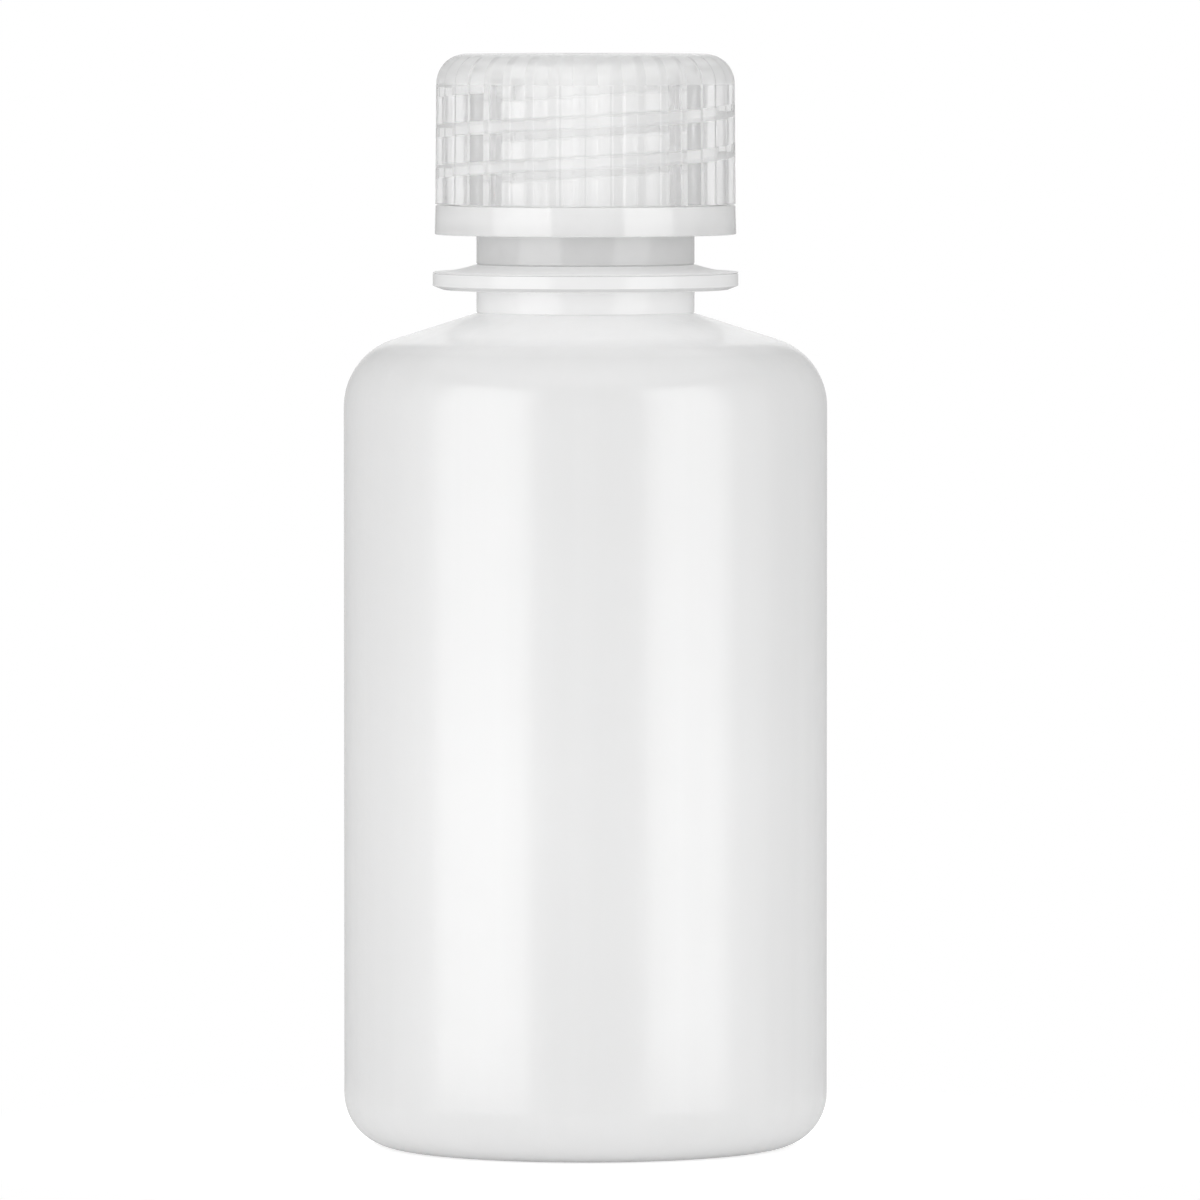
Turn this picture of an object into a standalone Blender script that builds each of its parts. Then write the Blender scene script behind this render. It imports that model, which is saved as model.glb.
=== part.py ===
# Round plastic bottle with a transfer ring on its neck, a ribbed screw cap with a sealing disc,
# and a tamper ring below the cap.
# Lengths are in metres. The origin is the middle of the base, +Z is up, and -Y is the front.

import math

import bmesh
import bpy
from mathutils import Matrix

MM = 0.001

# Bottle body, from the base up
BODY_RADIUS = 24.0 * MM
BODY_WALL = 1.3 * MM
BASE_WALL = 1.6 * MM
HEEL_REACH = 6.3 * MM
HEEL_HEIGHT = 6.7 * MM
FOOT_WIDTH = 2.2 * MM
PUSH_UP_HEIGHT = 1.2 * MM
SIDE_TOP_HEIGHT = 73.52 * MM
SHOULDER_FILLET = 7.0 * MM
SHOULDER_SLOPE = math.radians(17.6)

# Neck and transfer ring
NECK_RADIUS = 10.83 * MM
NECK_WALL = 1.63 * MM
BORE_FOOT_FILLET = 2.0 * MM
STEM_HEIGHT = 2.34 * MM
TRANSFER_RING_OVERHANG = 4.35 * MM
TRANSFER_RING_RIM = 1.55 * MM
RING_CHAMFER_WIDTH = 1.0 * MM
RING_CHAMFER_HEIGHT = 0.37 * MM
RING_CROWN = 0.7 * MM
RING_CROWN_SHARES = (0.4, 0.7, 1)
RING_EDGE_FILLET = 0.15 * MM

# Threaded neck finish
THREAD_PITCH = 4.0 * MM
THREAD_DEPTH = 1.55 * MM
THREAD_ROOT_STEP = 0.12 * MM
THREAD_START_ANGLE = math.radians(-91.0)
THREAD_LEAD_ANGLE = math.radians(28.0)
NECK_RIDGE_BASE_SHARE = 0.55
NECK_RIDGE_CREST_SHARE = 0.48
THREAD_END_BELOW_LIP = 1.3 * MM
COLLAR_HEIGHT = 0.8 * MM
BEAD_REACH = 0.75 * MM
BEAD_HEIGHT = 0.75 * MM
BEAD_SLOPE_HEIGHT = 0.8 * MM
LIP_FILLET = 0.3 * MM

# Ribbed cap
CAP_WALL = 1.58 * MM
CAP_TOP_WALL = 1.1 * MM
CAP_HEIGHT = 14.9 * MM
CAP_DRAFT = 0.12 * MM
CAP_EDGE_FILLET = 3.0 * MM
CAP_INNER_FILLET = 0.5 * MM
RIB_COUNT = 36
RIB_DEPTH = 0.65 * MM
CAP_RIDGE_BASE_SHARE = 0.45
CAP_RIDGE_CREST_SHARE = 0.25
CAP_THREAD_INSET = 1.75 * MM

# Sealing disc
DISC_THICKNESS = 0.8 * MM
DISC_EDGE_FILLET = 0.15 * MM

# Tamper ring
TAMPER_GAP = 3.4 * MM
TAMPER_HEIGHT = 2.85 * MM
TAMPER_DRAFT = 0.08 * MM
TAMPER_CATCH = 1.1 * MM
TAMPER_CATCH_HEIGHT = 0.65 * MM
TAMPER_CATCH_SLOPE = 0.35 * MM
TAMPER_EDGE_FILLET = 0.12 * MM
SLIT_HEIGHT = 0.3 * MM
BRIDGE_COUNT = 12
BRIDGE_WIDTH = 0.7 * MM
BRIDGE_DEPTH = 0.5 * MM
BRIDGE_HEIGHT_SHARE = 0.5

# Clearances, and how far a joined shape sinks into the one that it is joined to
SEAT_CLEARANCE = 0.3 * MM
THREAD_ROOT_CLEARANCE = 0.4 * MM
THREAD_CREST_CLEARANCE = 0.7 * MM
BEAD_CLEARANCE = 0.5 * MM
OVERRUN = 0.4 * MM

# Facets; the cap's hollow is turned by a share of one, so that its corners miss the ribs and their valleys
ROUND_SEGMENTS = 48
HOLLOW_TURN_SHARE = 0.5
THREAD_STEPS_PER_TURN = 32
FILLET_STEPS = 6
SMALL_FILLET_STEPS = 2
SHARP_ANGLE = math.radians(35.0)

# Positions worked out from the sizes above, from the base up
SHOULDER_CENTER_RADIUS = BODY_RADIUS - SHOULDER_FILLET
SHOULDER_CONE_RADIUS = SHOULDER_CENTER_RADIUS + SHOULDER_FILLET * math.sin(SHOULDER_SLOPE)
SHOULDER_CONE_HEIGHT = SIDE_TOP_HEIGHT + SHOULDER_FILLET * math.cos(SHOULDER_SLOPE)
NECK_FOOT = SHOULDER_CONE_HEIGHT + (SHOULDER_CONE_RADIUS - NECK_RADIUS) * math.tan(SHOULDER_SLOPE)
RING_BOTTOM = NECK_FOOT + STEM_HEIGHT
RING_RADIUS = NECK_RADIUS + TRANSFER_RING_OVERHANG
RING_RIM_TOP = RING_BOTTOM + RING_CHAMFER_HEIGHT + TRANSFER_RING_RIM
TAMPER_BOTTOM = RING_RIM_TOP + TAMPER_GAP
TAMPER_TOP = TAMPER_BOTTOM + TAMPER_HEIGHT
CAP_BOTTOM = TAMPER_TOP + SLIT_HEIGHT
CAP_TOP = CAP_BOTTOM + CAP_HEIGHT
CAP_CEILING = CAP_TOP - CAP_TOP_WALL
DISC_BOTTOM = CAP_CEILING - SEAT_CLEARANCE - DISC_THICKNESS
LIP_HEIGHT = DISC_BOTTOM - SEAT_CLEARANCE

# Radii of the finish, the cap and the tamper ring, each worked out from the one inside it
BORE_RADIUS = NECK_RADIUS - NECK_WALL
THREAD_ROOT_RADIUS = NECK_RADIUS + THREAD_ROOT_STEP
THREAD_CREST_RADIUS = THREAD_ROOT_RADIUS + THREAD_DEPTH
BEAD_RADIUS = THREAD_CREST_RADIUS + BEAD_REACH
BEAD_BOTTOM = TAMPER_BOTTOM + TAMPER_CATCH_HEIGHT + TAMPER_CATCH_SLOPE + SEAT_CLEARANCE
COLLAR_TOP = BEAD_BOTTOM + BEAD_HEIGHT + BEAD_SLOPE_HEIGHT + COLLAR_HEIGHT
CAP_INNER_RADIUS = THREAD_CREST_RADIUS + THREAD_CREST_CLEARANCE
CAP_RIDGE_RADIUS = THREAD_ROOT_RADIUS + THREAD_ROOT_CLEARANCE
CAP_RADIUS = CAP_INNER_RADIUS + CAP_WALL
SKIRT_RADIUS = CAP_RADIUS + CAP_DRAFT
DISC_RADIUS = CAP_INNER_RADIUS - SEAT_CLEARANCE
TAMPER_INNER_RADIUS = BEAD_RADIUS + BEAD_CLEARANCE
TAMPER_CATCH_RADIUS = BEAD_RADIUS - TAMPER_CATCH

# The neck's ridge and the cap's ridge lie on one helix, half a pitch apart
NECK_RIDGE_START = COLLAR_TOP + THREAD_PITCH * NECK_RIDGE_CREST_SHARE / 6
NECK_RIDGE_END = LIP_HEIGHT - THREAD_END_BELOW_LIP
CAP_RIDGE_START = CAP_BOTTOM + CAP_THREAD_INSET
CAP_RIDGE_END = DISC_BOTTOM - SEAT_CLEARANCE - THREAD_PITCH * CAP_RIDGE_BASE_SHARE / 2


def remove_scene_objects():
    for found in list(bpy.data.objects):
        bpy.data.objects.remove(found, do_unlink=True)


def make_material(name, color, roughness, alpha=1.0):
    material = bpy.data.materials.new(name)
    material.use_nodes = True
    material.diffuse_color = (*color, alpha)
    shader = material.node_tree.nodes["Principled BSDF"]
    shader.inputs["Base Color"].default_value = (*color, 1.0)
    shader.inputs["Roughness"].default_value = roughness
    shader.inputs["Metallic"].default_value = 0.0
    shader.inputs["Alpha"].default_value = alpha
    return material


def arc(center_radius, center_height, reach, rise, start, end, steps):
    # Section points along an elliptical arc, with angles counted from the outward direction
    points = []
    for step in range(steps + 1):
        angle = start + (end - start) * step / steps
        radius = center_radius + reach * math.cos(angle)
        points.append((radius, center_height + rise * math.sin(angle)))
    return points


def ring_of_points(radius, height, segments, turn_share=0):
    if radius <= 0:
        return [(0, 0, height)]
    turns = [2 * math.pi * (step + turn_share) / segments for step in range(segments)]
    return [(radius * math.cos(turn), radius * math.sin(turn), height) for turn in turns]


def loft(rows, closed):
    # Faces between rows of points round the axis; a row of one point is a pole on the axis,
    # and a wider end row is filled with one flat face
    mesh = bmesh.new()
    loops = [[mesh.verts.new(point) for point in row] for row in rows]
    pairs = list(zip(loops, loops[1:]))
    if closed:
        pairs.append((loops[-1], loops[0]))
    for low, high in pairs:
        count = max(len(low), len(high))
        for step in range(count):
            after = (step + 1) % count
            corners = [low[step % len(low)], low[after % len(low)]]
            corners += [high[after % len(high)], high[step % len(high)]]
            mesh.faces.new(list(dict.fromkeys(corners)))
    for end in (loops[0], loops[-1]):
        if len(end) > 1 and not closed:
            mesh.faces.new(end)
    bmesh.ops.recalc_face_normals(mesh, faces=mesh.faces)
    return mesh


def add_object(name, mesh, material=None):
    data = bpy.data.meshes.new(name)
    mesh.to_mesh(data)
    mesh.free()
    data.shade_smooth()
    data.set_sharp_from_angle(angle=SHARP_ANGLE)
    made = bpy.data.objects.new(name, data)
    bpy.context.scene.collection.objects.link(made)
    if material:
        data.materials.append(material)
    return made


def add_turned(name, outline, material=None, closed=False, turn_share=0):
    rows = [ring_of_points(radius, height, ROUND_SEGMENTS, turn_share) for radius, height in outline]
    return add_object(name, loft(rows, closed), material)


def combine(target, shape, operation):
    shape.hide_render = True
    shape.display_type = "WIRE"
    boolean = target.modifiers.new(shape.name, "BOOLEAN")
    boolean.operation = operation
    boolean.solver = "EXACT"
    boolean.object = shape


def helix_height(angle):
    # Height of the middle of the neck's ridge, with the angle counted from the front
    return NECK_RIDGE_START + THREAD_PITCH * (angle - THREAD_START_ANGLE) / (2 * math.pi)


def helix_angle(height):
    return THREAD_START_ANGLE + 2 * math.pi * (height - NECK_RIDGE_START) / THREAD_PITCH


def add_ridge(name, start, end, offset, wall_radius, sunk_radius, crest_radius, shares):
    # A thread ridge that rises out of its wall at one end and sinks back into it at the other;
    # its flanks run on into the wall
    base_half = THREAD_PITCH * shares[0] / 2
    crest_half = THREAD_PITCH * shares[1] / 2
    flank_share = (sunk_radius - crest_radius) / (wall_radius - crest_radius)
    sunk_half = crest_half + (base_half - crest_half) * flank_share
    flat_radius = (3 * wall_radius + sunk_radius) / 4
    first = helix_angle(start - offset)
    last = helix_angle(end - offset)
    steps = math.ceil((last - first) / (2 * math.pi) * THREAD_STEPS_PER_TURN)
    mesh = bmesh.new()
    loops = []
    for step in range(steps + 1):
        angle = first + (last - first) * step / steps
        from_end = min(angle - first, last - angle)
        share = min(1.0, from_end / THREAD_LEAD_ANGLE)
        crest = flat_radius + (crest_radius - flat_radius) * math.sin(share * math.pi / 2)
        height = helix_height(angle) + offset
        section = [
            (sunk_radius, -sunk_half),
            (crest, -crest_half),
            (crest, crest_half),
            (sunk_radius, sunk_half),
        ]
        across = (math.sin(angle), -math.cos(angle))
        loops.append(
            [
                mesh.verts.new((radius * across[0], radius * across[1], height + rise))
                for radius, rise in section
            ]
        )
    for low, high in zip(loops, loops[1:]):
        for corner in range(len(low)):
            after = (corner + 1) % len(low)
            mesh.faces.new([low[corner], low[after], high[after], high[corner]])
    mesh.faces.new(loops[0])
    mesh.faces.new(loops[-1])
    bmesh.ops.recalc_face_normals(mesh, faces=mesh.faces)
    return add_object(name, mesh)


def bottle_outside():
    quarter = math.pi / 2
    heel_foot = BODY_RADIUS - HEEL_REACH
    foot_inside = heel_foot - FOOT_WIDTH
    outline = [
        (foot_inside * share, PUSH_UP_HEIGHT * (1 - share**2)) for share in (0, 0.35, 0.7, 1)
    ]
    outline += arc(heel_foot, HEEL_HEIGHT, HEEL_REACH, HEEL_HEIGHT, -quarter, 0, FILLET_STEPS)
    outline += arc(
        SHOULDER_CENTER_RADIUS,
        SIDE_TOP_HEIGHT,
        SHOULDER_FILLET,
        SHOULDER_FILLET,
        0,
        quarter - SHOULDER_SLOPE,
        FILLET_STEPS,
    )
    outline += [(NECK_RADIUS, NECK_FOOT), (NECK_RADIUS, RING_BOTTOM)]
    return outline


def transfer_ring():
    quarter = math.pi / 2
    rim_inside = RING_RADIUS - RING_EDGE_FILLET
    rim_fillet_height = RING_RIM_TOP - RING_EDGE_FILLET
    outline = [
        (RING_RADIUS - RING_CHAMFER_WIDTH, RING_BOTTOM),
        (RING_RADIUS, RING_BOTTOM + RING_CHAMFER_HEIGHT),
    ]
    outline += arc(
        rim_inside,
        rim_fillet_height,
        RING_EDGE_FILLET,
        RING_EDGE_FILLET,
        0,
        quarter,
        SMALL_FILLET_STEPS,
    )
    # the top face rises towards the neck in a hollow curve
    outline += [
        (RING_RADIUS - TRANSFER_RING_OVERHANG * share, RING_RIM_TOP + RING_CROWN * share**2)
        for share in RING_CROWN_SHARES
    ]
    return outline


def neck_finish():
    quarter = math.pi / 2
    bead_top = BEAD_BOTTOM + BEAD_HEIGHT
    outline = [
        (NECK_RADIUS, BEAD_BOTTOM),
        (BEAD_RADIUS, BEAD_BOTTOM),
        (BEAD_RADIUS, bead_top),
        (THREAD_CREST_RADIUS, bead_top + BEAD_SLOPE_HEIGHT),
        (THREAD_CREST_RADIUS, COLLAR_TOP),
        (THREAD_ROOT_RADIUS, COLLAR_TOP),
    ]
    for center_radius, start in ((THREAD_ROOT_RADIUS - LIP_FILLET, 0), (BORE_RADIUS + LIP_FILLET, quarter)):
        outline += arc(
            center_radius,
            LIP_HEIGHT - LIP_FILLET,
            LIP_FILLET,
            LIP_FILLET,
            start,
            start + quarter,
            SMALL_FILLET_STEPS,
        )
    return outline


def bottle_inside():
    # The hollow follows the outside at the wall's thickness, from the bore down to the base
    quarter = math.pi / 2
    inner_fillet = SHOULDER_FILLET - BODY_WALL
    inner_radius = BODY_RADIUS - BODY_WALL
    cone_radius = SHOULDER_CENTER_RADIUS + inner_fillet * math.sin(SHOULDER_SLOPE)
    cone_height = SIDE_TOP_HEIGHT + inner_fillet * math.cos(SHOULDER_SLOPE)
    slope = math.tan(SHOULDER_SLOPE)
    foot_radius = BORE_RADIUS + BORE_FOOT_FILLET * (1 - math.sin(SHOULDER_SLOPE))
    foot_height = cone_height + (cone_radius - foot_radius) * slope
    foot_center = foot_height + BORE_FOOT_FILLET * math.cos(SHOULDER_SLOPE)
    outline = arc(
        BORE_RADIUS + BORE_FOOT_FILLET,
        foot_center,
        BORE_FOOT_FILLET,
        BORE_FOOT_FILLET,
        math.pi,
        3 * quarter - SHOULDER_SLOPE,
        SMALL_FILLET_STEPS,
    )
    outline += arc(
        SHOULDER_CENTER_RADIUS,
        SIDE_TOP_HEIGHT,
        inner_fillet,
        inner_fillet,
        quarter - SHOULDER_SLOPE,
        0,
        FILLET_STEPS,
    )
    heel_reach = HEEL_REACH - BODY_WALL
    heel_height = HEEL_HEIGHT - BASE_WALL
    heel_foot = inner_radius - heel_reach
    outline += arc(heel_foot, HEEL_HEIGHT, heel_reach, heel_height, 0, -quarter, FILLET_STEPS)
    foot_inside = heel_foot - FOOT_WIDTH
    outline += [
        (foot_inside * share, BASE_WALL + PUSH_UP_HEIGHT * (1 - share**2))
        for share in (1, 0.7, 0.35, 0)
    ]
    return outline


def add_bottle():
    material = make_material("bottle_plastic", (0.86, 0.86, 0.85), 0.32)
    outline = bottle_outside() + transfer_ring() + neck_finish() + bottle_inside()
    body = add_turned("bottle_body", outline, material)
    ridge = add_ridge(
        "neck_thread",
        NECK_RIDGE_START,
        NECK_RIDGE_END,
        0,
        THREAD_ROOT_RADIUS,
        THREAD_ROOT_RADIUS - OVERRUN,
        THREAD_CREST_RADIUS,
        (NECK_RIDGE_BASE_SHARE, NECK_RIDGE_CREST_SHARE),
    )
    combine(body, ridge, "UNION")


def cap_ring(radius, height):
    # One ring of points round the ribbed outside: the sharp edge of each rib and the valley beside it,
    # whose floor stays upright as the cap's edge curves in
    draft_share = (CAP_TOP - height) / CAP_HEIGHT
    floor = CAP_RADIUS + CAP_DRAFT * draft_share - RIB_DEPTH
    points = []
    for rib in range(RIB_COUNT):
        for side, reach in ((0, radius), (0.5, min(radius, floor))):
            angle = 2 * math.pi * (rib + side) / RIB_COUNT
            points.append((reach * math.cos(angle), reach * math.sin(angle), height))
    return points


def add_cap():
    material = make_material("cap_plastic", (0.84, 0.85, 0.85), 0.18, 0.6)
    quarter = math.pi / 2
    edge_height = CAP_TOP - CAP_EDGE_FILLET
    edge_radius = CAP_RADIUS + CAP_DRAFT * CAP_EDGE_FILLET / CAP_HEIGHT
    outside = [(SKIRT_RADIUS, CAP_BOTTOM)]
    outside += arc(
        edge_radius - CAP_EDGE_FILLET,
        edge_height,
        CAP_EDGE_FILLET,
        CAP_EDGE_FILLET,
        0,
        quarter,
        FILLET_STEPS,
    )
    rows = [cap_ring(radius, height) for radius, height in outside]
    shell = add_object("cap_shell", loft(rows, False), material)
    hollow = [(CAP_INNER_RADIUS, CAP_BOTTOM - OVERRUN)]
    hollow += arc(
        CAP_INNER_RADIUS - CAP_INNER_FILLET,
        CAP_CEILING - CAP_INNER_FILLET,
        CAP_INNER_FILLET,
        CAP_INNER_FILLET,
        0,
        quarter,
        SMALL_FILLET_STEPS,
    )
    combine(shell, add_turned("cap_hollow", hollow, turn_share=HOLLOW_TURN_SHARE), "DIFFERENCE")
    ridge = add_ridge(
        "cap_thread",
        CAP_RIDGE_START,
        CAP_RIDGE_END,
        THREAD_PITCH / 2,
        CAP_INNER_RADIUS,
        CAP_INNER_RADIUS + OVERRUN,
        CAP_RIDGE_RADIUS,
        (CAP_RIDGE_BASE_SHARE, CAP_RIDGE_CREST_SHARE),
    )
    combine(shell, ridge, "UNION")


def add_sealing_disc():
    material = make_material("disc_plastic", (0.9, 0.9, 0.89), 0.5)
    quarter = math.pi / 2
    outline = []
    for height, start in (
        (DISC_BOTTOM + DISC_EDGE_FILLET, -quarter),
        (DISC_BOTTOM + DISC_THICKNESS - DISC_EDGE_FILLET, 0),
    ):
        outline += arc(
            DISC_RADIUS - DISC_EDGE_FILLET,
            height,
            DISC_EDGE_FILLET,
            DISC_EDGE_FILLET,
            start,
            start + quarter,
            SMALL_FILLET_STEPS,
        )
    add_turned("sealing_disc", outline, material)


def add_bridges():
    # Small posts that span part of the slit between the tamper ring and the cap
    post_top = BRIDGE_HEIGHT_SHARE * SLIT_HEIGHT
    wall_middle = (TAMPER_INNER_RADIUS + SKIRT_RADIUS) / 2
    mesh = bmesh.new()
    for bridge in range(BRIDGE_COUNT):
        turn = Matrix.Rotation(2 * math.pi * (bridge + 0.5) / BRIDGE_COUNT, 4, "Z")
        place = Matrix.Translation((wall_middle, 0, TAMPER_TOP + (post_top - OVERRUN) / 2))
        size = Matrix.Diagonal((BRIDGE_DEPTH, BRIDGE_WIDTH, post_top + OVERRUN, 1))
        bmesh.ops.create_cube(mesh, size=1, matrix=turn @ place @ size)
    return add_object("bridges", mesh)


def add_tamper_ring():
    material = make_material("tamper_plastic", (0.86, 0.86, 0.86), 0.15, 0.8)
    quarter = math.pi / 2
    foot_radius = SKIRT_RADIUS + TAMPER_DRAFT
    outline = arc(
        foot_radius - TAMPER_EDGE_FILLET,
        TAMPER_BOTTOM + TAMPER_EDGE_FILLET,
        TAMPER_EDGE_FILLET,
        TAMPER_EDGE_FILLET,
        -quarter,
        0,
        SMALL_FILLET_STEPS,
    )
    outline += [
        (SKIRT_RADIUS, TAMPER_TOP),
        (TAMPER_INNER_RADIUS, TAMPER_TOP),
        (TAMPER_INNER_RADIUS, TAMPER_BOTTOM + TAMPER_CATCH_HEIGHT + TAMPER_CATCH_SLOPE),
        (TAMPER_CATCH_RADIUS, TAMPER_BOTTOM + TAMPER_CATCH_HEIGHT),
        (TAMPER_CATCH_RADIUS, TAMPER_BOTTOM + TAMPER_CATCH_SLOPE),
        (TAMPER_CATCH_RADIUS + TAMPER_CATCH_SLOPE, TAMPER_BOTTOM),
    ]
    ring = add_turned("tamper_ring", outline, material, closed=True)
    combine(ring, add_bridges(), "UNION")


remove_scene_objects()
add_bottle()
add_cap()
add_sealing_disc()
add_tamper_ring()
print(f"Bottle is {CAP_TOP / MM:.2f} mm tall and {2 * BODY_RADIUS / MM:.2f} mm wide")
print(f"Neck lip at {LIP_HEIGHT / MM:.2f} mm, cap skirt from {CAP_BOTTOM / MM:.2f} mm")
print(f"Cap radius {CAP_RADIUS / MM:.2f} mm, thread crest radius {THREAD_CREST_RADIUS / MM:.2f} mm")
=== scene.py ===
# Dresses the small round bottle: finely turned shells with real threads, moulded plastics
# and soft studio light.
import math

import bmesh
import bpy
from mathutils import Matrix, Vector


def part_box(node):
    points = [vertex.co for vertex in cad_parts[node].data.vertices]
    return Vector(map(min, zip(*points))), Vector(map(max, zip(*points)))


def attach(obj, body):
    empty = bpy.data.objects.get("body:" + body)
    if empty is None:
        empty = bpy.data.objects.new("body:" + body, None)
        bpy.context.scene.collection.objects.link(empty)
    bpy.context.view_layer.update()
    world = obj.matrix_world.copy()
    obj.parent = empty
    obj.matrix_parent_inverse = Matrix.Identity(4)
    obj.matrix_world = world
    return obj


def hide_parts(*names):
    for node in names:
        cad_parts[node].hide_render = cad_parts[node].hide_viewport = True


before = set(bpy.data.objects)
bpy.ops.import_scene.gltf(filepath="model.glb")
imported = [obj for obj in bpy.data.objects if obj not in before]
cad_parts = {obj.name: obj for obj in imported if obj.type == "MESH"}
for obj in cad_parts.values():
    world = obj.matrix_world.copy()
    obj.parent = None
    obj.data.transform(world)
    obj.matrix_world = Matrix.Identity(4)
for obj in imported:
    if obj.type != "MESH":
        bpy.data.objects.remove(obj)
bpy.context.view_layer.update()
mm = 0.001
quarter = math.pi / 2
sharpAngle = math.radians(32)  # steeper edges stay crisp
print("frame loaded")

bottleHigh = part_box("bottle_body")[1]
capLow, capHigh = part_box("cap_shell")
discLow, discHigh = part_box("sealing_disc")
bandLow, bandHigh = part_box("tamper_ring")


# Turning and joining, shared by all the pieces


def curveRound(centerRadius, centerHeight, reach, rise, start, end, steps):
    # points of a round stretch of outline; angles count from the outward direction
    points = []
    for step in range(steps + 1):
        angle = start + (end - start) * step / steps
        radius = centerRadius + reach * math.cos(angle)
        points.append((radius, centerHeight + rise * math.sin(angle)))
    return points


def skinRows(rows, closed=False):
    # faces between rings of points; a ring of one point is a tip on the axis, an open end is
    # filled flat
    mesh = bmesh.new()
    loops = [[mesh.verts.new(point) for point in row] for row in rows]
    pairs = list(zip(loops, loops[1:]))
    if closed:
        pairs.append((loops[-1], loops[0]))
    for low, high in pairs:
        count = max(len(low), len(high))
        for step in range(count):
            after = (step + 1) % count
            corners = [low[step % len(low)], low[after % len(low)]]
            corners += [high[after % len(high)], high[step % len(high)]]
            mesh.faces.new(list(dict.fromkeys(corners)))
    for end in (loops[0], loops[-1]):
        if len(end) > 1 and not closed:
            mesh.faces.new(end)
    bmesh.ops.recalc_face_normals(mesh, faces=mesh.faces)
    return mesh


def ringPoints(radius, height, segments):
    if radius <= 0:
        return [(0, 0, height)]
    turns = [2 * math.pi * step / segments for step in range(segments)]
    return [(radius * math.cos(turn), radius * math.sin(turn), height) for turn in turns]


def shadeMesh(data):
    data.shade_smooth()
    data.set_sharp_from_angle(angle=sharpAngle)


def keepPiece(name, mesh):
    data = bpy.data.meshes.new(name)
    mesh.to_mesh(data)
    mesh.free()
    shadeMesh(data)
    piece = bpy.data.objects.new(name, data)
    bpy.context.scene.collection.objects.link(piece)
    return piece


def turnPiece(name, outline, segments, closed=False):
    rows = [ringPoints(radius, height, segments) for radius, height in outline]
    return keepPiece(name, skinRows(rows, closed))


def carve(piece, tool, operation):
    # joins or cuts with another shape, and drops the tool
    boolean = piece.modifiers.new("carve", "BOOLEAN")
    boolean.operation = operation
    boolean.solver = "EXACT"
    boolean.object = tool
    bpy.context.view_layer.update()
    shown = piece.evaluated_get(bpy.context.evaluated_depsgraph_get())
    carved = bpy.data.meshes.new_from_object(shown)
    piece.modifiers.clear()
    piece.data = carved
    shadeMesh(carved)
    bpy.data.objects.remove(tool, do_unlink=True)


def windThread(name, first, last, lift, radii, widths):
    # a ridge on a helix that rises out of the wall and sinks back into it; angles count from
    # the front, and the widths are the foot's and the crest's
    wallRadius, sunkRadius, crestRadius = radii
    baseHalf, crestHalf = widths[0] / 2, widths[1] / 2
    flatRadius = (3 * wallRadius + sunkRadius) / 4  # where the ridge runs out, inside the wall
    edgeRise = crestHalf + (baseHalf - crestHalf) * thread["edgeShare"]
    flatRise = crestHalf * thread["flatShare"]
    steps = math.ceil((last - first) / (2 * math.pi) * thread["stepsPerTurn"])
    rows = []
    for step in range(steps + 1):
        angle = first + (last - first) * step / steps
        share = min(1.0, min(angle - first, last - angle) / thread["leadAngle"])
        crest = flatRadius + (crestRadius - flatRadius) * math.sin(share * quarter)
        edge = crest + (wallRadius - crest) * thread["edgeShare"]
        height = thread["frontHeight"] + lift + thread["pitch"] * angle / (2 * math.pi)
        upper = [(sunkRadius, baseHalf), (wallRadius, baseHalf)]
        upper += [(edge, edgeRise), (crest, flatRise)]
        section = [(radius, -rise) for radius, rise in upper] + upper[::-1]
        x, y = math.sin(angle), -math.cos(angle)
        rows.append([(radius * x, radius * y, height + rise) for radius, rise in section])
    return keepPiece(name, skinRows(rows))


def coatPiece(piece, plastics):
    piece.data.materials.clear()
    for plastic in plastics:
        piece.data.materials.append(plastic)


# Nodes, shared by the plastics, the paper and the room


def feed(tree, socket, source):
    # joins another node to a socket, or sets a number or a colour on it
    if isinstance(source, bpy.types.NodeSocket):
        tree.links.new(source, socket)
    else:
        socket.default_value = source


def addMath(tree, operation, *sources):
    node = tree.nodes.new("ShaderNodeMath")
    node.operation = operation
    for socket, source in zip(node.inputs, sources):
        feed(tree, socket, source)
    return node.outputs[0]


def mapRange(tree, value, start, end, low, high, way="LINEAR"):
    # low up to the start, high from the end on, and a ramp between them
    node = tree.nodes.new("ShaderNodeMapRange")
    node.interpolation_type = way
    names = ("Value", "From Min", "From Max", "To Min", "To Max")
    for name, source in zip(names, (value, start, end, low, high)):
        feed(tree, node.inputs[name], source)
    return node.outputs["Result"]


def mixColors(tree, share, first, second, way="MIX"):
    node = tree.nodes.new("ShaderNodeMix")
    node.data_type = "RGBA"
    node.blend_type = way
    for place, source in ((0, share), (6, first), (7, second)):  # a colour mix's own sockets
        feed(tree, node.inputs[place], source)
    return node.outputs[2]


def mixShaders(tree, share, first, second):
    # what the material shows: the first shader, or the second where the share is 1
    node = tree.nodes.new("ShaderNodeMixShader")
    for socket, source in zip(node.inputs, (share, first, second)):
        tree.links.new(source, socket)
    tree.links.new(node.outputs["Shader"], tree.nodes["Material Output"].inputs["Surface"])


def splitPlace(tree, place):
    node = tree.nodes.new("ShaderNodeSeparateXYZ")
    tree.links.new(place, node.inputs["Vector"])
    return node.outputs


def addNoise(tree, place, scale, detail=2):
    node = tree.nodes.new("ShaderNodeTexNoise")
    node.inputs["Scale"].default_value = scale
    node.inputs["Detail"].default_value = detail
    tree.links.new(place, node.inputs["Vector"])
    return node.outputs["Fac"]


def grey(shade):
    return (shade, shade, shade, 1)


# Plastics

noiseMiddle = (0.35, 0.65)  # the part of a noise that is stretched over a range of values
evenShare = 0.5  # streaks and clouds tint the plastic equally
hazeDetail = 3

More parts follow.
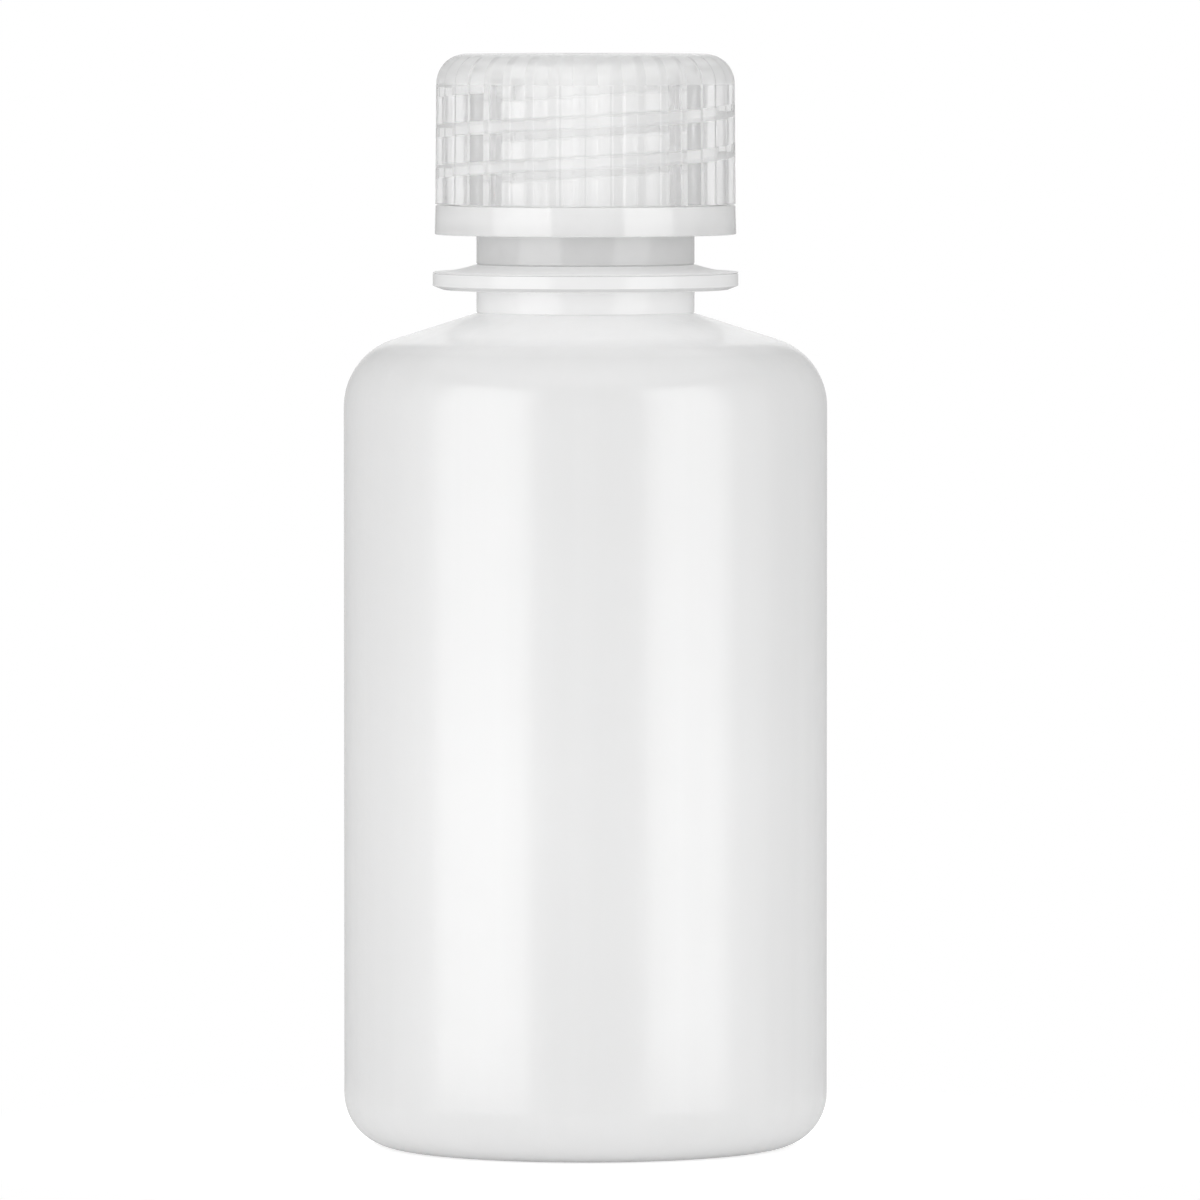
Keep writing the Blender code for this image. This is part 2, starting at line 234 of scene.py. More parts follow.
mouldedPlastic = {  # what each plastic starts from
    "clear": 0.0,
    "ior": 1.55,
    "shine": 0.5,
    "sheen": 0.0,
    "glow": 0.0,
    "glowDepth": 1.0 * mm,
    "glowReach": (1.0, 0.95, 0.9),
    "roughness": (0.12, 0.16),
    "hazeScale": 400,
    "cloudScale": 120,
    "streakScale": 450,
    "streakStretch": 1.0,
    "streakShare": 0.2,
    "rippleScale": 900,
    "grainScale": 4000,
    "grainShare": 0.2,
    "bumpStrength": 0.15,
    "bumpDepth": 0.01 * mm,
}
clearPlastic = {  # what the cap and the tamper ring add to it
    "lampTint": grey(0.97),
    "hazeScale": 500,
    "cloudScale": 90,
    "streakScale": 300,
    "rippleScale": 600,
    "grainScale": 3000,
}


def addSeam(tree, place, narrow, wide):
    # a fine raised line where the halves of the mould met, along y = 0
    apart = addMath(tree, "ABSOLUTE", splitPlace(tree, place)["Y"])
    return mapRange(tree, apart, narrow, wide, 1, 0)


def passLamps(tree, shader, tint):
    # lets the lamps light what stands behind the plastic
    path = tree.nodes.new("ShaderNodeLightPath")
    through = tree.nodes.new("ShaderNodeBsdfTransparent")
    through.inputs["Color"].default_value = tint
    shadow = path.outputs["Is Shadow Ray"]
    mixShaders(tree, shadow, shader.outputs["BSDF"], through.outputs["BSDF"])


def mixPlastic(name, changes):
    plastic = {**mouldedPlastic, **changes}
    material = bpy.data.materials.new(name)
    material.use_nodes = True
    tree = material.node_tree
    shader = tree.nodes["Principled BSDF"]
    shader.inputs["IOR"].default_value = plastic["ior"]
    shader.inputs["Specular IOR Level"].default_value = plastic["shine"]
    shader.inputs["Transmission Weight"].default_value = plastic["clear"]
    shader.inputs["Sheen Weight"].default_value = plastic["sheen"]
    shader.inputs["Subsurface Weight"].default_value = plastic["glow"]
    shader.inputs["Subsurface Radius"].default_value = plastic["glowReach"]
    shader.inputs["Subsurface Scale"].default_value = plastic["glowDepth"]

    place = tree.nodes.new("ShaderNodeTexCoord").outputs["Object"]
    upright = tree.nodes.new("ShaderNodeMapping")
    upright.inputs["Scale"].default_value = (1, 1, plastic["streakStretch"])
    tree.links.new(place, upright.inputs["Vector"])
    streak = addNoise(tree, upright.outputs["Vector"], plastic["streakScale"])
    cloud = addNoise(tree, place, plastic["cloudScale"])
    clouded = addMath(tree, "MULTIPLY", cloud, evenShare)
    tint = addMath(tree, "MULTIPLY_ADD", streak, evenShare, clouded)
    tint = mapRange(tree, tint, *noiseMiddle, 0, 1)
    color = mixColors(tree, tint, plastic["colorLow"], plastic["colorHigh"])
    # painted shade and light by height, multiplied into the plastic's colour
    for start, end, shade in plastic.get("paintedShadeZones", ()):
        within = mapRange(tree, splitPlace(tree, place)["Z"], start, end, 0, 1)
        color = mixColors(tree, within, color, grey(shade), "MULTIPLY")
    tree.links.new(color, shader.inputs["Base Color"])

    haze = addNoise(tree, place, plastic["hazeScale"], hazeDetail)
    haze = mapRange(tree, haze, *noiseMiddle, *plastic["roughness"])
    tree.links.new(haze, shader.inputs["Roughness"])

    reliefs = [
        (addNoise(tree, place, plastic["rippleScale"]), 1),
        (addNoise(tree, place, plastic["grainScale"]), plastic["grainShare"]),
        (streak, plastic["streakShare"]),
    ]
    if "seam" in plastic:
        narrow, wide, share = plastic["seam"]
        reliefs.append((addSeam(tree, place, narrow, wide), share))
    relief = 0
    for source, share in reliefs:
        relief = addMath(tree, "MULTIPLY_ADD", source, share, relief)
    bump = tree.nodes.new("ShaderNodeBump")
    bump.inputs["Strength"].default_value = plastic["bumpStrength"]
    bump.inputs["Distance"].default_value = plastic["bumpDepth"]
    tree.links.new(relief, bump.inputs["Height"])
    tree.links.new(bump.outputs["Normal"], shader.inputs["Normal"])

    if "lampTint" in plastic:
        passLamps(tree, shader, plastic["lampTint"])
    return material


bottlePlastic = mixPlastic(
    "bottlePlastic",
    {
        "colorLow": grey(0.96),
        "colorHigh": grey(0.98),
        # a zone goes from its first height to its second, and is painted darker or lighter from
        # there on
        "paintedShadeZones": ((80.8 * mm, 79.0 * mm, 0.8),),  # painted light and shade: the body is greyer below the shoulder, so the shoulder stands lighter, for light that reaches it through the translucent ring
        "ior": 1.85,
        "glow": 0.15,
        "glowDepth": 1.5 * mm,
        "roughness": (0.21, 0.27),
        "hazeScale": 300,
        "cloudScale": 60,
        "streakStretch": 0.015,
        "streakShare": 0.6,
        "grainScale": 2600,
        "grainShare": 0.5,
        "bumpStrength": 0.45,
        "bumpDepth": 0.02 * mm,
        "seam": (0.07 * mm, 0.16 * mm, 4),  # down both sides and across the base
    },
)
neckPlastic = mixPlastic(
    "neckPlastic",
    {
        "colorLow": grey(0.94),
        "colorHigh": grey(0.96),
        # painted shade on the flange's underside, then on its rim, which stays a little darker
        # than the neck below
        "paintedShadeZones": ((85.18 * mm, 85.28 * mm, 0.7), (85.5 * mm, 85.6 * mm, 1.23)),
    },
)
# painted light: the flange's top is painted a little lighter than the neck, with sheen as well,
# against the shade the tamper ring casts on it
flangePlastic = mixPlastic(
    "flangePlastic",
    {
        "colorLow": grey(0.97),
        "colorHigh": grey(0.99),
        "ior": 1.45,
        "sheen": 0.7,
        "glow": 0.15,
        "roughness": (0.5, 0.56),
    },
)
# painted shade: the neck between the flange and the tamper ring is the bottle's plastic painted
# dark grey, for the shade under the cap and the tamper ring
paintedShadeNeckPlastic = mixPlastic(
    "paintedShadeNeckPlastic",
    {
        "colorLow": grey(0.69),
        "colorHigh": grey(0.71),
        "glow": 0.1,
    },
)
# painted shade: the neck thread's crests, seen through the cap, are the bottle's plastic painted
# greyer than its root
threadPlastic = mixPlastic(
    "threadPlastic",
    {
        "colorLow": grey(0.82),
        "colorHigh": grey(0.85),
        "ior": 2.0,
        "glow": 0.1,
        "roughness": (0.07, 0.1),
    },
)
innerPlastic = mixPlastic(
    "innerPlastic",
    {
        "colorLow": grey(0.95),
        "colorHigh": grey(0.97),
        "lampTint": grey(0.97),
        "ior": 1.5,
        "shine": 0.0,
        "bumpStrength": 0.1,
    },
)
capPlastic = mixPlastic(
    "capPlastic",
    {
        **clearPlastic,
        "colorLow": grey(0.94),
        "colorHigh": grey(0.96),
        "clear": 0.82,
        "ior": 1.58,
        "sheen": 0.3,
        "roughness": (0.05, 0.07),
        "bumpStrength": 0.02,
    },
)
domePlastic = mixPlastic(
    "domePlastic",
    {
        **clearPlastic,
        "colorLow": grey(0.84),
        "colorHigh": grey(0.86),
        "clear": 0.5,
        "roughness": (0.2, 0.25),
        "bumpStrength": 0.05,
    },
)
bandPlastic = mixPlastic(
    "bandPlastic",
    {
        **clearPlastic,
        "colorLow": grey(0.92),
        "colorHigh": grey(0.95),
        "lampTint": grey(0.8),
        "clear": 0.42,
        "ior": 1.7,
        "roughness": (0.08, 0.12),
        "bumpStrength": 0.1,
    },
)
discPlastic = mixPlastic(
    "discPlastic",
    {
        "colorLow": (0.95, 0.95, 0.945, 1),
        "colorHigh": (0.97, 0.97, 0.965, 1),
        "ior": 1.48,
        "roughness": (0.4, 0.5),
        "hazeScale": 900,
        "cloudScale": 200,
        "streakScale": 900,
        "streakShare": 0.3,
        "rippleScale": 1500,
        "grainScale": 5000,
        "grainShare": 0.3,
        "bumpStrength": 0.3,
        "bumpDepth": 0.02 * mm,
    },
)
print("plastics mixed")


# The bottle

thread = {
    "pitch": 4.0 * mm,
    "frontHeight": 95.46 * mm,  # middle of the neck's lowest turn, at the front
    "stepsPerTurn": 120,
    "leadAngle": math.radians(28),
    "edgeShare": 0.12,  # how much of a ridge's edge is rounded
    "flatShare": 0.8,  # of the crest's width
    "neckStart": math.radians(-91),
    "neckEndBelowLip": 1.3 * mm,
}

bottle = {
    "wall": 1.3 * mm,
    "baseWall": 1.6 * mm,
    "heelReach": 5.2 * mm,
    "heelHeight": 5.3 * mm,
    "footWidth": 3.3 * mm,
    "pushUp": 1.2 * mm,
    "pushUpShares": (0, 0.2, 0.4, 0.6, 0.8, 0.95, 1),  # of the way from the axis to the foot ring
    "sideTop": 73.52 * mm,
    "shoulderFillet": 7.0 * mm,
    "shoulderSlope": math.radians(17.6),
    "neckRadius": 10.83 * mm,
    "groove": 0.1 * mm,  # fine line where the neck meets the shoulder and the flange
    "boreRadius": 9.2 * mm,
    "boreFootFillet": 2.0 * mm,
    "stem": 2.34 * mm,
    "flangeOverhang": 4.35 * mm,
    "flangeRim": 1.38 * mm,
    "flangeChamferWidth": 1.0 * mm,
    "flangeChamferHeight": 0.37 * mm,
    "flangeCrown": 0.74 * mm,
    "crownShares": (0.06, 0.15, 0.3, 0.45, 0.6, 0.75, 0.88, 1),  # of the way in from the rim
    "flangeEdge": 0.06 * mm,
    "rootRadius": 10.95 * mm,
    "crestRadius": 12.5 * mm,
    "ridgeBase": 2.2 * mm,
    "ridgeCrest": 1.92 * mm,
    "beadRadius": 13.25 * mm,
    "beadBottom": 91.78 * mm,
    "beadHeight": 0.75 * mm,
    "beadSlope": 0.8 * mm,
    "collarHeight": 1.97 * mm,
    "lipFillet": 0.05 * mm,
    "sunk": 0.4 * mm,  # how deep the ridge's foot lies in the wall
    "outsideFrom": 1.05,  # faces further out than this many bore radii belong to the outside
    "segments": 240,
    "filletSteps": 20,
    "boreFootSteps": 8,
    "chamferSteps": 3,
    "rimSteps": 4,
    "lipSteps": 5,
}


def neckLevels(sizes):
    # heights of the neck's foot and of the transfer flange, found from the shoulder's cone
    fillet, slope = sizes["shoulderFillet"], sizes["shoulderSlope"]
    coneRadius = bottleHigh.x - fillet + fillet * math.sin(slope)
    coneHeight = sizes["sideTop"] + fillet * math.cos(slope)
    neckFoot = coneHeight + (coneRadius - sizes["neckRadius"]) * math.tan(slope)
    flangeBottom = neckFoot + sizes["stem"]
    rimTop = flangeBottom + sizes["flangeChamferHeight"] + sizes["flangeRim"]
    flangeTop = rimTop + sizes["flangeCrown"]
    return neckFoot, flangeBottom, rimTop, flangeTop


def drawBottleOutside(sizes):
    radius, lip = bottleHigh.x, bottleHigh.z
    steps, pushUp = sizes["filletSteps"], sizes["pushUp"]
    fillet, slope = sizes["shoulderFillet"], sizes["shoulderSlope"]
    reach, rise = sizes["heelReach"], sizes["heelHeight"]
    heelFoot = radius - reach
    footInside = heelFoot - sizes["footWidth"]
    neck, edge, groove = sizes["neckRadius"], sizes["flangeEdge"], sizes["groove"]
    neckFoot, flangeBottom, rimTop, flangeTop = neckLevels(sizes)
    overhang, crown = sizes["flangeOverhang"], sizes["flangeCrown"]
    flangeRadius = neck + overhang
    outline = [(footInside * share, pushUp * (1 - share**2)) for share in sizes["pushUpShares"]]
    outline += curveRound(heelFoot, rise, reach, rise, -quarter, 0, steps)
    shoulder = radius - fillet
    outline += curveRound(shoulder, sizes["sideTop"], fillet, fillet, 0, quarter - slope, steps)
    outline += [
        (neck, neckFoot),
        (neck - groove, neckFoot + groove / 2),
        (neck, neckFoot + groove * 1.5),
        (neck, flangeBottom),
        (flangeRadius - sizes["flangeChamferWidth"], flangeBottom),
    ]
    rim, rimFoot = flangeRadius - edge, flangeBottom + sizes["flangeChamferHeight"] + edge
    outline += curveRound(rim, rimFoot, edge, edge, -quarter / 2, 0, sizes["chamferSteps"])
    outline += [
        (flangeRadius, rimTop - edge - groove),
        (flangeRadius - groove, rimTop - edge - groove / 2),
    ]
    outline += curveRound(rim, rimTop - edge, edge, edge, 0, quarter, sizes["rimSteps"])
    for share in sizes["crownShares"]:
        outline.append((flangeRadius - overhang * share, rimTop + crown * share**2))
    beadTop = sizes["beadBottom"] + sizes["beadHeight"]
    collarTop = beadTop + sizes["beadSlope"] + sizes["collarHeight"]
    outline += [
        (neck - groove, flangeTop + groove / 2),
        (neck, flangeTop + groove * 1.5),
        (neck, sizes["beadBottom"]),
        (sizes["beadRadius"], sizes["beadBottom"]),
        (sizes["beadRadius"], beadTop),
        (sizes["crestRadius"], beadTop + sizes["beadSlope"]),
        (sizes["crestRadius"], collarTop),
        (sizes["rootRadius"], collarTop),
    ]
    roll = sizes["lipFillet"]
    for center, start in ((sizes["rootRadius"] - roll, 0), (sizes["boreRadius"] + roll, quarter)):
        end = start + quarter
        outline += curveRound(center, lip - roll, roll, roll, start, end, sizes["lipSteps"])
    return outline


def drawBottleInside(sizes):
    steps, wall, pushUp = sizes["filletSteps"], sizes["wall"], sizes["pushUp"]
    fillet, slope = sizes["shoulderFillet"] - wall, sizes["shoulderSlope"]
    center = bottleHigh.x - sizes["shoulderFillet"]
    coneRadius = center + fillet * math.sin(slope)
    coneHeight = sizes["sideTop"] + fillet * math.cos(slope)
    foot = sizes["boreFootFillet"]
    footRadius = sizes["boreRadius"] + foot * (1 - math.sin(slope))
    footCenter = coneHeight + (coneRadius - footRadius) * math.tan(slope) + foot * math.cos(slope)
    start, end = math.pi, 3 * quarter - slope
    outline = curveRound(
        sizes["boreRadius"] + foot, footCenter, foot, foot, start, end, sizes["boreFootSteps"]
    )
    outline += curveRound(center, sizes["sideTop"], fillet, fillet, quarter - slope, 0, steps)
    reach, rise = sizes["heelReach"] - wall, sizes["heelHeight"] - sizes["baseWall"]
    heelFoot = bottleHigh.x - wall - reach
    outline += curveRound(heelFoot, sizes["heelHeight"], reach, rise, 0, -quarter, steps)
    footInside = heelFoot - sizes["footWidth"]
    for share in reversed(sizes["pushUpShares"]):
        outline.append((footInside * share, sizes["baseWall"] + pushUp * (1 - share**2)))
    return outline


def makeBottle(sizes):
    outline = drawBottleOutside(sizes) + drawBottleInside(sizes)
    piece = turnPiece("bottleShell", outline, sizes["segments"])
    root, pitch = sizes["rootRadius"], thread["pitch"]
    rise = bottleHigh.z - thread["neckEndBelowLip"] - thread["frontHeight"]
    ridge = windThread(
        "neckRidge",
        thread["neckStart"],
        2 * math.pi * rise / pitch,
        0,
        (root, root - sizes["sunk"], sizes["crestRadius"]),
        (sizes["ridgeBase"], sizes["ridgeCrest"]),
    )
    carve(piece, ridge, "UNION")
    plastics = [bottlePlastic, neckPlastic, flangePlastic]
    plastics += [paintedShadeNeckPlastic, threadPlastic, innerPlastic]
    coatPiece(piece, plastics)
    neckFoot, _, rimTop, flangeTop = neckLevels(sizes)
    starts = (neckFoot, rimTop, flangeTop, sizes["beadBottom"])  # where the next plastic begins
    for face in piece.data.polygons:
        height, radius = face.center.z, math.hypot(face.center.x, face.center.y)
        if radius > sizes["boreRadius"] * sizes["outsideFrom"]:
            face.material_index = sum(height > start for start in starts)
        if height > sizes["beadBottom"] and radius < sizes["crestRadius"] - sizes["groove"]:
            face.material_index = plastics.index(innerPlastic)
    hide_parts("bottle_body")
    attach(piece, "bottle")


makeBottle(bottle)
print("bottle made")


# The cap

cap = {
    "draft": 0.12 * mm,
    "edgeFillet": 3.0 * mm,
    "innerRadius": 13.2 * mm,
    "innerFillet": 0.5 * mm,
    "topWall": 1.1 * mm,
    "ridgeRadius": 11.35 * mm,
    "ridgeBase": 1.3 * mm,
    "ridgeCrest": 1.0 * mm,
    "ridgeLift": 0.41 * mm,  # the closed cap's thread bears on the neck's thread from below
    "threadInset": 2.4 * mm,
    "discRoom": 0.3 * mm,  # left between the ridge's upper end and the disc
    "ribs": 36,
    "ribDepth": 0.65 * mm,  # from a rib's ridge to the bottom of the valley beside it
    "ribFade": 0.5,  # how late the valleys run out over the rounded top edge
    "ribRounding": 0.1,  # of the ribs' ridges
    "facetPlaces": (0, 0.015, 0.03, 0.06, 0.12, 0.28, 0.46, 0.64, 0.82),  # shares of its width
    # rings of the gate mark: from the axis, and below the top
    "gate": (
        (2.3 * mm, 0),
        (2.1 * mm, 0.22 * mm),
        (0.7 * mm, 0.22 * mm),
        (0.6 * mm, 0.06 * mm),
        (0, 0.03 * mm),
    ),
    "milkyFrom": 105.45 * mm,  # the solid plastic of the top looks milkier than the thin wall
    "wallBlend": 0.05 * mm,  # faces this near the hollow's wall count as the wall itself
    "sunk": 0.4 * mm,  # how far the hollow and the ridge reach past the shell
    "segments": 240,
    "domeSteps": 26,
    "innerSteps": 6,
}


def ribPlaces(sizes):
    # angle of every upright column round the cap, and its share of the way from ridge to valley
    half, rounding = math.pi / sizes["ribs"], sizes["ribRounding"]
    shares = [(share, share) for share in sizes["facetPlaces"]]
    shares += [(2 - share, share) for share in (1, *reversed(sizes["facetPlaces"][1:]))]
    places = []
    for rib in range(sizes["ribs"]):
        for along, share in shares:
            drop = math.sqrt(share**2 + rounding**2) - rounding
            drop /= math.sqrt(1 + rounding**2) - rounding
            places.append((half * (2 * rib + along), drop))
    return places


def capRow(sizes, places, radius, height, fillShare):
    # one level of the ribbed outside; the valleys follow the rounded top edge and run out on
    # the flat top
    row = []
    for angle, share in places:
        reach = radius - sizes["ribDepth"] * share * max(0.0, fillShare) ** sizes["ribFade"]
        row.append((reach * math.cos(angle), reach * math.sin(angle), height))
    return row


def drawCapOutside(sizes):
    places = ribPlaces(sizes)
    fillet, skirt, top = sizes["edgeFillet"], capHigh.x, capHigh.z
    edge = skirt - sizes["draft"] * (top - fillet - capLow.z) / (top - capLow.z)
    rows = [capRow(sizes, places, skirt, capLow.z, 1)]
    for step in range(sizes["domeSteps"] + 1):
        turn = quarter * step / sizes["domeSteps"]
        radius, height = edge - fillet * (1 - math.cos(turn)), top - fillet * (1 - math.sin(turn))
        rows.append(capRow(sizes, places, radius, height, math.cos(turn)))
    for radius, depth in sizes["gate"]:
        height = top - depth
        rows.append(capRow(sizes, places, radius, height, 0) if radius else [(0, 0, height)])
    return rows


def makeCap(sizes):
    piece = keepPiece("capShell", skinRows(drawCapOutside(sizes)))
    ceiling = capHigh.z - sizes["topWall"]
    inner, fillet = sizes["innerRadius"], sizes["innerFillet"]
    center, height = inner - fillet, ceiling - fillet
    hollow = [(inner, capLow.z - sizes["sunk"])]
    hollow += curveRound(center, height, fillet, fillet, 0, quarter, sizes["innerSteps"])
    carve(piece, turnPiece("capHollow", hollow, sizes["segments"]), "DIFFERENCE")
    pitch = thread["pitch"]
    lift = pitch / 2 + sizes["ridgeLift"]
    bottom = capLow.z + sizes["threadInset"] - lift - thread["frontHeight"]
    top = discLow.z - sizes["discRoom"] - sizes["ridgeBase"] / 2 - lift - thread["frontHeight"]
    ridge = windThread(
        "capRidge",
        2 * math.pi * bottom / pitch,
        2 * math.pi * top / pitch,
        lift,
        (inner, inner + sizes["sunk"], sizes["ridgeRadius"]),
        (sizes["ridgeBase"], sizes["ridgeCrest"]),
    )
    carve(piece, ridge, "UNION")
    plastics = [capPlastic, innerPlastic, domePlastic]
    coatPiece(piece, plastics)
    blend = sizes["wallBlend"]
    for face in piece.data.polygons:
        radius, height = math.hypot(face.center.x, face.center.y), face.center.z
        if radius < inner - blend and height < ceiling + blend:
            face.material_index = plastics.index(innerPlastic)
        elif height > sizes["milkyFrom"] and (radius > inner + blend or height > ceiling):
            face.material_index = plastics.index(domePlastic)
    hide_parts("cap_shell")
    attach(piece, "cap")


makeCap(cap)
print("cap made")


# The sealing disc and the tamper ring

disc = {  # pressed between the lip and the cap's ceiling
    "edge": 0.02 * mm,
    "inset": 0.2 * mm,
    "seatClear": 0.01 * mm,
    "segments": 180,
    "edgeSteps": 5,
}


def makeDisc(sizes):
    edge, clear = sizes["edge"], sizes["seatClear"]
    radius = discHigh.x - sizes["inset"]
    low, high = bottleHigh.z + clear, capHigh.z - cap["topWall"] - clear
    outline = []
    for height, start in ((low + edge, -quarter), (high - edge, 0)):
        end = start + quarter
        outline += curveRound(radius - edge, height, edge, edge, start, end, sizes["edgeSteps"])
    piece = turnPiece("sealDisc", outline, sizes["segments"])
    coatPiece(piece, [discPlastic])
    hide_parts("sealing_disc")
    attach(piece, "seal")


makeDisc(disc)

band = {
    "lift": 0.16 * mm,
    "height": 2.91 * mm,
    "draft": 0.08 * mm,
    "innerRadius": 13.75 * mm,
    "catchRadius": 12.15 * mm,
    "catchHeight": 0.65 * mm,
    "catchSlope": 0.35 * mm,
    "edge": 0.12 * mm,
    "bridges": 12,
    "bridgeWidth": 0.7 * mm,
    "bridgeDepth": 0.5 * mm,
    "bridgeSunk": 0.4 * mm,
    "bridgeClear": 0.03 * mm,  # left between a bridge and the cap
    "segments": 240,
    "edgeSteps": 4,
}


def makeBand(sizes):
    bottom, foot = bandLow.z + sizes["lift"], bandHigh.x
    top = bottom + sizes["height"]
    edge, steps = sizes["edge"], sizes["edgeSteps"]
    inner, catch, slope = sizes["innerRadius"], sizes["catchRadius"], sizes["catchSlope"]
    catchTop = bottom + sizes["catchHeight"]
    outline = curveRound(foot - edge, bottom + edge, edge, edge, -quarter, 0, steps)
    outline += curveRound(foot - sizes["draft"] - edge, top - edge, edge, edge, 0, quarter, steps)
    outline += [
        (inner, top),
        (inner, catchTop + slope),
        (catch, catchTop),
        (catch, bottom + slope),
        (catch + slope, bottom),
    ]
    piece = turnPiece("tamperBand", outline, sizes["segments"], closed=True)
    posts = bmesh.new()
    middle = (inner + foot - sizes["draft"]) / 2
    postTop = capLow.z - sizes["bridgeClear"]
    tall = postTop - top + sizes["bridgeSunk"]
    for bridge in range(sizes["bridges"]):
        turn = Matrix.Rotation(2 * math.pi * (bridge + 0.5) / sizes["bridges"], 4, "Z")
        place = Matrix.Translation((middle, 0, postTop - tall / 2))
        size = Matrix.Diagonal((sizes["bridgeDepth"], sizes["bridgeWidth"], tall, 1))
        bmesh.ops.create_cube(posts, size=1, matrix=turn @ place @ size)
    carve(piece, keepPiece("bridgePosts", posts), "UNION")
    coatPiece(piece, [bandPlastic])
    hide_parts("tamper_ring")
    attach(piece, "tamper")


makeBand(band)
print("disc and tamper ring made")


# Studio: small pale floor, soft boxes at both sides, a pale room and the camera

studio = {
    "floorRadius": 0.07,
    "floorClear": 0.035,  # from here outwards the floor fades to plain white
    "floorDrop": 0.02 * mm,
    "floorSegments": 96,
    "floorShade": 0.8,
    "floorRoughness": 0.9,
    "floorLift": 0.55,  # added for the camera
    "floorGlow": 0.28,  # added for what the bottle scatters, but not for what it mirrors
    "boxDistance": 0.6,
    "boxHeight": 0.98,
    "boxCenterHeight": 0.045,
    "boxes": (  # name, degrees from the front, width, brightness
        ("leftBox", -50, 0.534, 1.47),
        ("rightBox", 50, 0.437, 1.47),
        ("leftPanel", -85, 0.24, 0.28),
        ("rightPanel", 82, 0.26, 0.32),
    ),
    "wallLight": 0.46,
    "throughLight": (0.2, 0.82),  # the side walls and beside the backdrop, through clear plastic
    "throughDepth": (0.52, 0.64),
    "ceilingLight": 0.93,
    "ceilingReach": (0.66, 0.78),
    "tableLight": 0.5,
    "tableReach": (-0.12, -0.02),
    "backdropLight": 1.0,
    "backdropSides": (0.12, 0.2),
    "backdropDepth": (0.3, 0.5),
    "lens": 390.0,
    "sensorWidth": 36.0,
    "clip": (0.05, 20),
    "cameraDistance": 1.2915,
    "cameraTilt": math.radians(2.86),
    "aim": Vector((1.44 * mm, 0, 54.3 * mm)),
}


def addSoftBox(name, place, width, height, brightness, target):
    lamp = bpy.data.lights.new(name, "AREA")
    lamp.shape = "RECTANGLE"
    lamp.size = width
    lamp.size_y = height
    lamp.energy = brightness * math.pi * width * height
    box = bpy.data.objects.new(name, lamp)
    box.location = place
    box.rotation_euler = (target - place).to_track_quat("-Z", "Y").to_euler()
    bpy.context.scene.collection.objects.link(box)


def makeWorld(values):
    # pale room with its own light for walls, ceiling, table and backdrop; plain white wherever
    # the camera looks past the bottle
    world = bpy.data.worlds.new("studioWorld")
    world.use_nodes = True
    bpy.context.scene.world = world
    tree = world.node_tree
    background = tree.nodes["Background"]
    background.inputs["Color"].default_value = grey(1)
    path = tree.nodes.new("ShaderNodeLightPath").outputs
    place = tree.nodes.new("ShaderNodeTexCoord").outputs["Generated"]
    parts = splitPlace(tree, place)
    deep, high = parts["Y"], parts["Z"]

    def ramp(value, reach, low, high):
        return mapRange(tree, value, *reach, low, high, "SMOOTHSTEP")

    across = addMath(tree, "ABSOLUTE", parts["X"])
    middle = ramp(across, values["backdropSides"], 1, 0)
    behind = addMath(tree, "MULTIPLY", middle, ramp(deep, values["backdropDepth"], 0, 1))
    walls = ramp(behind, (0, 1), values["wallLight"], values["backdropLight"])
    beside = ramp(deep, values["throughDepth"], *values["throughLight"])
    through = addMath(tree, "MAXIMUM", behind, beside)
    walls = ramp(path["Is Transmission Ray"], (0, 1), walls, through)
    room = ramp(high, values["ceilingReach"], walls, values["ceilingLight"])
    room = ramp(high, values["tableReach"], values["tableLight"], room)
    shown = ramp(path["Is Camera Ray"], (0, 1), room, 1)
    tree.links.new(shown, background.inputs["Strength"])


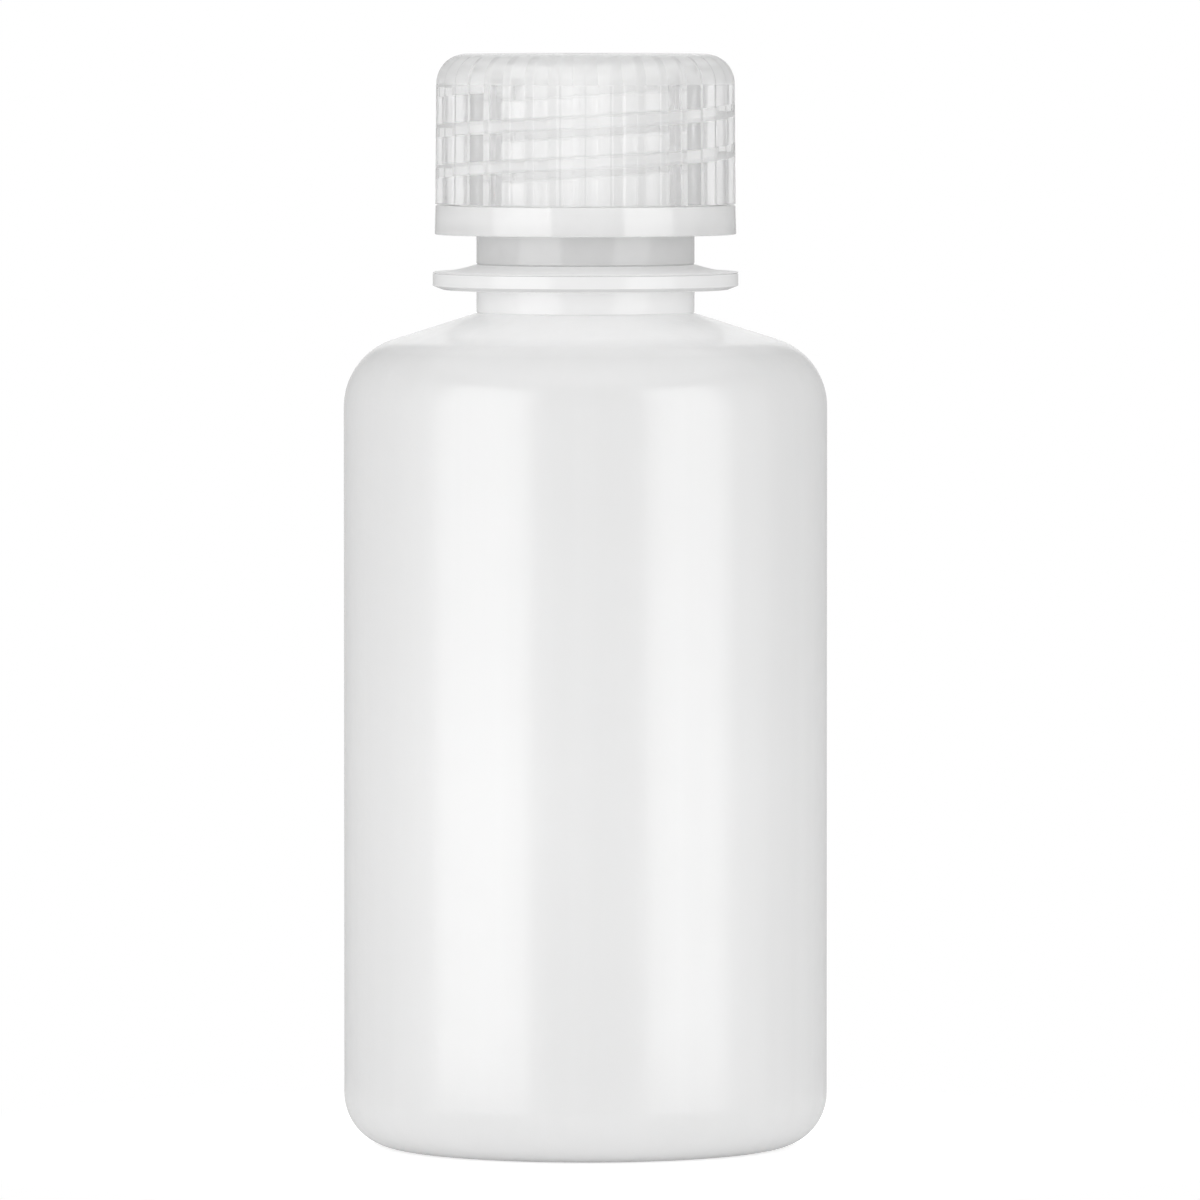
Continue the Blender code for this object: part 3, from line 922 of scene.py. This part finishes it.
def makeFloor(values):
    # white paper that keeps the shadow round the foot and fades to plain white further out
    mesh = bmesh.new()
    segments, radius = values["floorSegments"], values["floorRadius"]
    bmesh.ops.create_circle(mesh, cap_ends=True, segments=segments, radius=radius)
    floor = keepPiece("paleFloor", mesh)
    floor.location.z = -values["floorDrop"]
    material = bpy.data.materials.new("palePaper")
    material.use_nodes = True
    tree = material.node_tree
    paper = tree.nodes["Principled BSDF"]
    paper.inputs["Base Color"].default_value = grey(values["floorShade"])
    paper.inputs["Roughness"].default_value = values["floorRoughness"]
    paper.inputs["Emission Color"].default_value = grey(1)
    path = tree.nodes.new("ShaderNodeLightPath").outputs
    glow = mapRange(tree, path["Is Glossy Ray"], 0, 1, values["floorGlow"], 0)
    lift = mapRange(tree, path["Is Camera Ray"], 0, 1, glow, values["floorLift"])
    tree.links.new(lift, paper.inputs["Emission Strength"])
    place = tree.nodes.new("ShaderNodeTexCoord").outputs["Object"]
    away = tree.nodes.new("ShaderNodeVectorMath")
    away.operation = "LENGTH"
    tree.links.new(place, away.inputs[0])
    fade = mapRange(tree, away.outputs["Value"], values["floorClear"], radius, 0, 1, "SMOOTHSTEP")
    seen = addMath(tree, "MULTIPLY", fade, path["Is Camera Ray"])
    white = tree.nodes.new("ShaderNodeEmission")
    mixShaders(tree, seen, paper.outputs["BSDF"], white.outputs["Emission"])
    coatPiece(floor, [material])


def makeLamps(values):
    level = Vector((0, 0, values["boxCenterHeight"]))
    reach = values["boxDistance"]
    for name, degrees, width, brightness in values["boxes"]:
        azimuth = math.radians(degrees)
        place = level + Vector((reach * math.sin(azimuth), -reach * math.cos(azimuth), 0))
        addSoftBox(name, place, width, values["boxHeight"], brightness, level)


def makeCamera(values):
    lens = bpy.data.cameras.new("studioCamera")
    lens.lens = values["lens"]
    lens.sensor_width = values["sensorWidth"]
    lens.clip_start, lens.clip_end = values["clip"]
    camera = bpy.data.objects.new("studioCamera", lens)
    tilt, reach = values["cameraTilt"], values["cameraDistance"]
    camera.location = values["aim"] + Vector((0, -reach * math.cos(tilt), reach * math.sin(tilt)))
    camera.rotation_euler = (quarter - tilt, 0, 0)
    bpy.context.scene.collection.objects.link(camera)
    bpy.context.scene.camera = camera


makeWorld(studio)
makeFloor(studio)
makeLamps(studio)
makeCamera(studio)
bpy.context.scene.view_settings.view_transform = "Standard"
print("studio set")
